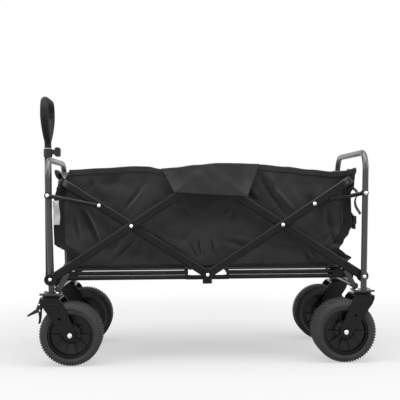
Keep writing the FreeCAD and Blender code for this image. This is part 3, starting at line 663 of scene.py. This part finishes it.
def sideSheet(u, v):
    look = basketLook
    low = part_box("basket_side_left")[0].z - hingeZ
    z = low + v * 0.302
    front, rear = between(look["frontEdge"], z), between(look["rearEdge"], z)
    x = front + u * (rear - front)
    return x, low + v * (between(look["rim"], x) - low), 0.0


def rimHem(u, v):
    look = basketLook
    x = -0.40 + u * 0.835
    return x, between(look["rim"], x) - v * look["hem"] + 0.0004, 0.0013


def frontBand(u, v):
    z = 0.034 + u * 0.235
    return between(basketLook["frontEdge"], z) + 0.001 + v * 0.03, z, 0.0013


def rearBand(u, v):
    z = 0.095 + u * 0.2
    return between(basketLook["rearEdge"], z) - 0.001 - v * 0.026, z, 0.0013


def bottomHem(u, v):
    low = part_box("basket_side_left")[0].z - hingeZ
    return -0.40 + u * 0.755, low + v * 0.011, 0.0012


for side in (leftSide, rightSide):
    name = f"basket_side_{sideNames[side]}"
    sheet = clothPatch(f"{name}_cloth", side, sideSheet, basketLook["columns"], basketLook["rows"])
    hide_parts(name)
    clothPatch(f"{name}_rim_hem", side, rimHem, 180, 6)
    clothPatch(f"{name}_front_band", side, frontBand, 60, 6, webbingAndShadeMat)
    clothPatch(f"{name}_rear_band", side, rearBand, 50, 6, webbingAndShadeMat)
    clothPatch(f"{name}_bottom_hem", side, bottomHem, 160, 4, webbingAndShadeMat)
print("cloth sides made")


# --- flaps over the top middle hinges ---
flapLook = {"columns": 150, "rows": 48, "rimLeft": -0.132, "rimRight": 0.156, "left": -0.095, "right": 0.117,
            "lowLeft": 0.2506, "lowRight": 0.2364, "hug": 0.03, "spread": 0.06, "roof": 0.92, "walls": 0.84}


def flapSpot(u, v):  # the last rows turn in over the top to the rim
    look = flapLook
    up = min(1.0, v / look["walls"])
    left = look["left"] + (look["rimLeft"] - look["left"]) * up
    right = look["right"] + (look["rimRight"] - look["right"]) * up
    x = left + u * (right - left)
    low = look["lowLeft"] + (look["lowRight"] - look["lowLeft"]) * u
    z = low + up * (between(basketLook["rim"], x) + 0.0015 - low)
    indoors = max(0.0, (v - look["walls"]) / (1 - look["walls"]))
    return x, z, min(x - left, right - x), indoors


def flapOver(x, z, inside, indoors):  # 1 over the bars, less above them, 0 at the side's own cloth
    barTop = (halfBase - abs(x)) * math.tan(rise) + 0.0125 / math.cos(rise) + 0.003
    spread = min(1.0, inside / flapLook["spread"])
    spread *= spread * (3 - 2 * spread)
    above = min(1.0, max(0.0, (z - barTop) / flapLook["hug"]))
    inner = 1 - (1 - flapLook["roof"]) * above * above * (3 - 2 * above)
    outer = 1 - min(1.0, max(0.0, (z - barTop) / max(0.01, between(basketLook["rim"], x) - barTop)))
    return (outer + (inner - outer) * spread) * (1 - indoors)


def flap(side):
    name, look, verts = f"basket_flap_{sideNames[side]}", flapLook, []
    face = outerFace(name, side) - side * 0.0008
    for i in range(look["columns"]):
        for j in range(look["rows"]):
            x, z, inside, indoors = flapSpot(i / (look["columns"] - 1), j / (look["rows"] - 1))
            spot = sideSpot(side, x, z, 0.0016)
            ripple = noise.noise(Vector((x * 22, z * 20, 4.0 * side))) * 0.0042
            spot.y += (face - spot.y) * flapOver(x, z, inside, indoors) + side * max(0.0, ripple)
            verts.append(spot)
    faces = gridFaces(look["columns"], look["rows"])
    piece = newPiece(f"{name}_cloth", verts, faces, clothMat, "front_frame")
    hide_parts(name)
    thicken(piece, basketLook["thick"])
    squashBasket(piece)


for side in (leftSide, rightSide):
    flap(side)
print("flaps made")


# --- end walls and rims ---
endLook = {"thick": 0.0014, "columns": 120, "rows": 60, "bulge": 0.006, "setIn": 0.004}


def endWall(end):
    out = -1 if end == "front" else 1
    edge = basketLook["frontEdge"] if end == "front" else basketLook["rearEdge"]
    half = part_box("basket_side_right")[1].y - 0.002
    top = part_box(f"{end}_rim_sleeve")[0].z - hingeZ + 0.006
    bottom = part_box(f"{end}_panel")[0].z - hingeZ
    verts, look = [], endLook
    for i in range(look["columns"]):
        across = -1 + 2 * i / (look["columns"] - 1)
        for j in range(look["rows"]):
            v = j / (look["rows"] - 1)
            z = bottom + v * (top - bottom)
            inner = 1 - across ** 8
            ripple = noise.noise(Vector((across * 4, z * 9, 7 * out))) * 0.005 * inner
            ripple += noise.noise(Vector((across * 14, z * 25, 3 * out))) * 0.0018 * inner
            bulge = look["bulge"] * (1 - across * across) * math.sin(math.pi * v)
            x = centreX + between(edge, z) - out * (ripple + look["setIn"] - bulge)
            verts.append(Vector((x, across * half, hingeZ + z)))
    faces = gridFaces(look["columns"], look["rows"])
    piece = newPiece(f"{end}_wall_cloth", verts, faces, clothMat, f"{end}_frame")
    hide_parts(f"{end}_panel")
    thicken(piece, look["thick"])


wrapLook = {"corner": 0.045, "turn": 44, "thick": 0.0095, "tall": 0.0168, "fin": 0.012, "around": 28,
            "wide": {"front": 0.197, "rear": 0.2}, "bunch": {"front": 1.25, "rear": 1.5}}


def wrapRoute(end):  # half of one bend, the straight run, and half of the other bend
    look, turn = wrapLook, math.radians(wrapLook["turn"])
    straight, bend = look["wide"][end] - look["corner"], []
    for i in range(14):
        angle = turn * (1 - i / 14)
        bend.append((-straight - look["corner"] * math.sin(angle), look["corner"] * (1 - math.cos(angle)), -angle))
    run = [(-straight + 2 * straight * i / 60, 0.0, 0.0) for i in range(61)]
    return bend + run + [(-y, along, -angle) for y, along, angle in reversed(bend)]


def rimWrap(end):  # cloth gathered round the hoop's cross run and the start of its bends
    low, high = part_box(f"{end}_rim_sleeve")
    centre, look, verts = (low + high) / 2, wrapLook, []
    out = -1 if end == "front" else 1
    down = Vector((-out * math.cos(rise), 0, -math.sin(rise)))
    upright = Vector((out * math.sin(rise), 0, math.cos(rise)))
    route = wrapRoute(end)
    for y, along, angle in route:
        spot = centre + down * along + Vector((0, y, 0))
        across = down * math.cos(angle) + Vector((0, 1, 0)) * math.sin(angle)
        bunch = min(1.0, max(0.0, (abs(y) - 0.10) / 0.07)) * math.cos(angle)
        for j in range(look["around"]):
            turn = 2 * math.pi * j / look["around"]
            rough = noise.noise(Vector((y * 24, turn, out * 4.0)))
            wide = look["thick"] * (1 + look["bunch"][end] * bunch) + rough * 0.0014
            tall = look["tall"] * (1 + 0.25 * bunch) + rough * 0.0018
            ring = across * (wide * math.cos(turn)) + upright * (tall * math.sin(turn))
            top = max(0.0, math.sin(turn)) ** 1.5
            verts.append(spot + ring + Vector((0, 0, look["fin"] * top * (1 + rough * 0.5))))
    faces = gridFaces(len(route), look["around"], False, True)
    # The wrap is basket cloth; its darker webbing colour is painted shade, because the cloth sits in shadow here.
    piece = newPiece(f"{end}_rim_wrap", verts, faces, webbingAndShadeMat, f"{end}_hoop")
    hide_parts(f"{end}_rim_sleeve")


for end in ("front", "rear"):
    endWall(end)
    rimWrap(end)
print("walls and rims made")


# --- floor ---
def roundedSlab(low, high, crown, columns=40, rows=30):
    verts, faces = [], []
    for face in (1, -1):
        base = len(verts)
        for i in range(columns):
            for j in range(rows):
                u, v = i / (columns - 1), j / (rows - 1)
                x, y = low.x + u * (high.x - low.x), low.y + v * (high.y - low.y)
                edge = min(1.0, 14 * min(u, 1 - u), 14 * min(v, 1 - v)) ** 0.5
                middle, half = (low.z + high.z) / 2, (high.z - low.z) / 2
                puff = crown * noise.noise(Vector((x * 14, y * 14, 2.0))) if face == 1 else 0.0
                verts.append(Vector((x, y, middle + face * half * (0.35 + 0.65 * edge) + puff * edge)))
        for corners in gridFaces(columns, rows):
            faces.append(tuple(base + corner for corner in corners[::face]))
    rim = [i * rows for i in range(columns)] + [(columns - 1) * rows + j for j in range(1, rows)]
    rim += [i * rows + rows - 1 for i in range(columns - 2, -1, -1)] + [j for j in range(rows - 2, 0, -1)]
    under = columns * rows
    for a, b in zip(rim, rim[1:] + rim[:1]):
        faces.append((a, a + under, b + under, b))
    return verts, faces


boardBodies = {
    "front_floor_board": "front_floor",
    "rear_floor_board": "rear_floor",
    "middle_floor_board": "middle_bracket",
}
for node, body in boardBodies.items():
    low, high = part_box(node)
    verts, faces = roundedSlab(low, high, 0.0012)
    piece = newPiece(f"{node}_covered", verts, faces, clothMat, body)
    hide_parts(node)
print("floor made")


# --- handle ---
gripLook = {"bar": 0.0125, "neckTop": 0.024, "neck": [0.0112, 0.0105, 0.0115]}


def grip():
    low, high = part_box("handle_grip")
    x, bar = (low.x + high.x) / 2, gripLook["bar"]
    half, top = (high.y - low.y) / 2 - bar, high.z - bar
    bottom = low.z + gripLook["neckTop"]
    outline = [(x, 0, bottom), (x, half * 0.55, bottom + 0.026), (x, half, bottom + 0.072)]
    outline += [(x, half, top - 0.028), (x, half * 0.82, top - 0.004), (x, half * 0.5, top), (x, 0, top)]
    outline += [(x, -y, z) for _, y, z in reversed(outline[1:-1])]
    points = curveThrough(outline, 10, True)
    points = [Vector((x, max(-half, min(half, point.y)), min(top, point.z))) for point in points]
    radii = [bar * (0.84 + 0.16 * min(1.0, (point.z - bottom) / 0.05)) for point in points]
    neck = [Vector((x, 0, z)) for z in (low.z + 0.0005, low.z + 0.008, bottom + 0.004)]
    parts = [tubeAlong(points, radii, 24, 1.0, True), tubeAlong(neck, gripLook["neck"], 24)]
    verts, faces = merge(parts)
    piece = newPiece("handle_grip_padded", verts, faces, foamMat, "handle_pull")
    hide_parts("handle_grip")


grip()
repaint(plasticMat, "handle_collar")
print("handle made")


# --- straps, buckle and label ---
strapLook = {
    "wall": 0.421, "wide": 0.025, "across": (0.4, 0.9, 0.16), "y": -0.165, "tailY": -0.15, "buckle": (0.016, 0.146),
    "strap": [(0.008, 0.262), (0.024, 0.254), (0.031, 0.240), (0.024, 0.2238), (0.026, 0.204), (0.040, 0.181)],
    "tail": [(0.002, 0.193), (0.014, 0.182), (0.022, 0.170)],
}


def strap(name, route, y):
    wall = centreX + strapLook["wall"]
    points = curveThrough([(wall + x, y, hingeZ + z) for x, z in route])
    ribbon(name, points, strapLook["wide"], "rear_frame", strapLook["across"], webbingAndShadeMat)


def buckle():  # side-release kind: body, two prongs and a bar
    x, z = (a + b for a, b in zip((centreX + strapLook["wall"], hingeZ), strapLook["buckle"]))
    y = strapLook["tailY"]
    parts = [blockShape((x, y - 0.019, z + 0.006), (x + 0.011, y + 0.019, z + 0.030))]
    for prong in (-1, 1):
        near, far = sorted((y + prong * 0.010, y + prong * 0.016))
        parts.append(blockShape((x + 0.002, near, z - 0.010), (x + 0.009, far, z + 0.007)))
    parts.append(blockShape((x + 0.003, y - 0.004, z - 0.008), (x + 0.008, y + 0.004, z + 0.007)))
    verts, faces = merge(parts)
    piece = newPiece("closing_buckle", verts, faces, plasticMat, "rear_frame", False)
    rounding = piece.modifiers.new("rounding", "BEVEL")
    rounding.width, rounding.segments = 0.0016, 3


strap("closing_strap", strapLook["strap"], strapLook["y"])
strap("closing_strap_tail", strapLook["tail"], strapLook["tailY"])
buckle()


def blankTag(u, v):  # unprinted tag sewn on the front corner
    x = -0.4485 + u * 0.017 + 0.002 * math.sin(v * 5)
    return x, 0.158 + v * 0.071, 0.0032 + 0.0012 * math.sin(v * 9)


clothPatch("blank_tag", leftSide, blankTag, 12, 30, labelMat)
print("straps made")


# --- studio ---
def studio():
    floorMesh = bpy.data.meshes.new("floor")
    reach = 12
    corners = [(-reach, -reach, 0), (reach, -reach, 0), (reach, reach, 0), (-reach, reach, 0)]
    floorMesh.from_pydata(corners, [], [(0, 1, 2, 3)])
    floor = bpy.data.objects.new("floor", floorMesh)
    bpy.context.scene.collection.objects.link(floor)
    floorPaint = Paint("pale floor", (0.5, 0.5, 0.5), 0.9)
    floorPaint.feed(Roughness=0.8 + floorPaint.noise(3.0) * 0.15)
    tree = floorPaint.tree
    rays = floorPaint.node("LightPath", {}, {})
    seenRays = rays
    for kind in ("Is Glossy Ray", "Is Transmission Ray"):
        seenRays = seenRays + Value(floorPaint, rays.socket.node.outputs[kind])
    seen = tree.nodes.new("ShaderNodeEmission")
    seen.inputs["Color"].default_value = (1, 1, 1, 1)
    seen.inputs["Strength"].default_value = 1.0
    reach = floorPaint.node("VectorMath", {"operation": "LENGTH"}, {0: floorPaint.place}, 1)
    fade = floorPaint.node("MapRange", {"interpolation_type": "SMOOTHSTEP"},
                           {"Value": reach, "From Min": 0.5, "From Max": 1.7, "To Min": 0.55, "To Max": 1.0})
    mix = tree.nodes.new("ShaderNodeMixShader")
    tree.links.new((seenRays * fade).socket, mix.inputs[0])
    tree.links.new(floorPaint.shader.outputs["BSDF"], mix.inputs[1])
    tree.links.new(seen.outputs["Emission"], mix.inputs[2])
    tree.links.new(mix.outputs["Shader"], tree.nodes["Material Output"].inputs["Surface"])
    floorMesh.materials.append(floorPaint.material)
    world = bpy.data.worlds.new("studio")
    bpy.context.scene.world = world
    world.use_nodes = True
    nodes, links = world.node_tree.nodes, world.node_tree.links
    soft = nodes["Background"]
    soft.inputs["Color"].default_value = (1, 1, 1, 1)
    soft.inputs["Strength"].default_value = 0.12
    white = nodes.new("ShaderNodeBackground")
    white.inputs["Color"].default_value = (1, 1, 1, 1)
    white.inputs["Strength"].default_value = 1.0
    path, mixed = nodes.new("ShaderNodeLightPath"), nodes.new("ShaderNodeMixShader")
    either = nodes.new("ShaderNodeMath")
    anyOf = nodes.new("ShaderNodeMath")
    links.new(path.outputs["Is Camera Ray"], either.inputs[0])
    links.new(path.outputs["Is Glossy Ray"], either.inputs[1])
    links.new(either.outputs[0], anyOf.inputs[0])
    links.new(path.outputs["Is Transmission Ray"], anyOf.inputs[1])
    links.new(anyOf.outputs[0], mixed.inputs[0])
    links.new(soft.outputs["Background"], mixed.inputs[1])
    links.new(white.outputs["Background"], mixed.inputs[2])
    links.new(mixed.outputs["Shader"], nodes["World Output"].inputs["Surface"])
    for name, place, aim, width, power in (
        ("top light", (0.0, -0.35, 2.7), (0, 0, 0.3), 2.4, 92),
        ("left light", (-1.9, -0.8, 1.8), (0, 0, 0.35), 1.7, 36),
        ("right light", (1.9, -0.8, 1.8), (0, 0, 0.35), 1.7, 36),
        ("front light", (-0.6, -3.6, 1.6), (0, 0, 0.3), 1.2, 8),
    ):
        lamp = bpy.data.lights.new(name, "AREA")
        lamp.size, lamp.energy = width, power
        holder = bpy.data.objects.new(name, lamp)
        holder.location = place
        holder.rotation_euler = (Vector(aim) - Vector(place)).to_track_quat("-Z", "Y").to_euler()
        bpy.context.scene.collection.objects.link(holder)


cameraLook = {"lens": 79.2, "place": (-0.0952, -2.7803, 0.4948), "yaw": -1.67, "pitch": -0.43, "roll": -0.48}


def camera():
    look = cameraLook
    lens = bpy.data.cameras.new("camera")
    lens.lens, lens.sensor_width = look["lens"], 36
    holder = bpy.data.objects.new("camera", lens)
    bpy.context.scene.collection.objects.link(holder)
    turn = Matrix.Rotation(math.radians(look["yaw"]), 4, "Z")
    tilt = Matrix.Rotation(math.radians(90 + look["pitch"]), 4, "X")
    lean = Matrix.Rotation(math.radians(look["roll"]), 4, "Z")
    place = Matrix.Translation(Vector(look["place"]) + Vector((centreX, 0, 0)))
    holder.matrix_world = place @ turn @ tilt @ lean
    bpy.context.scene.camera = holder


studio()
camera()
bpy.context.scene.view_settings.view_transform = "Standard"
print("studio ready")
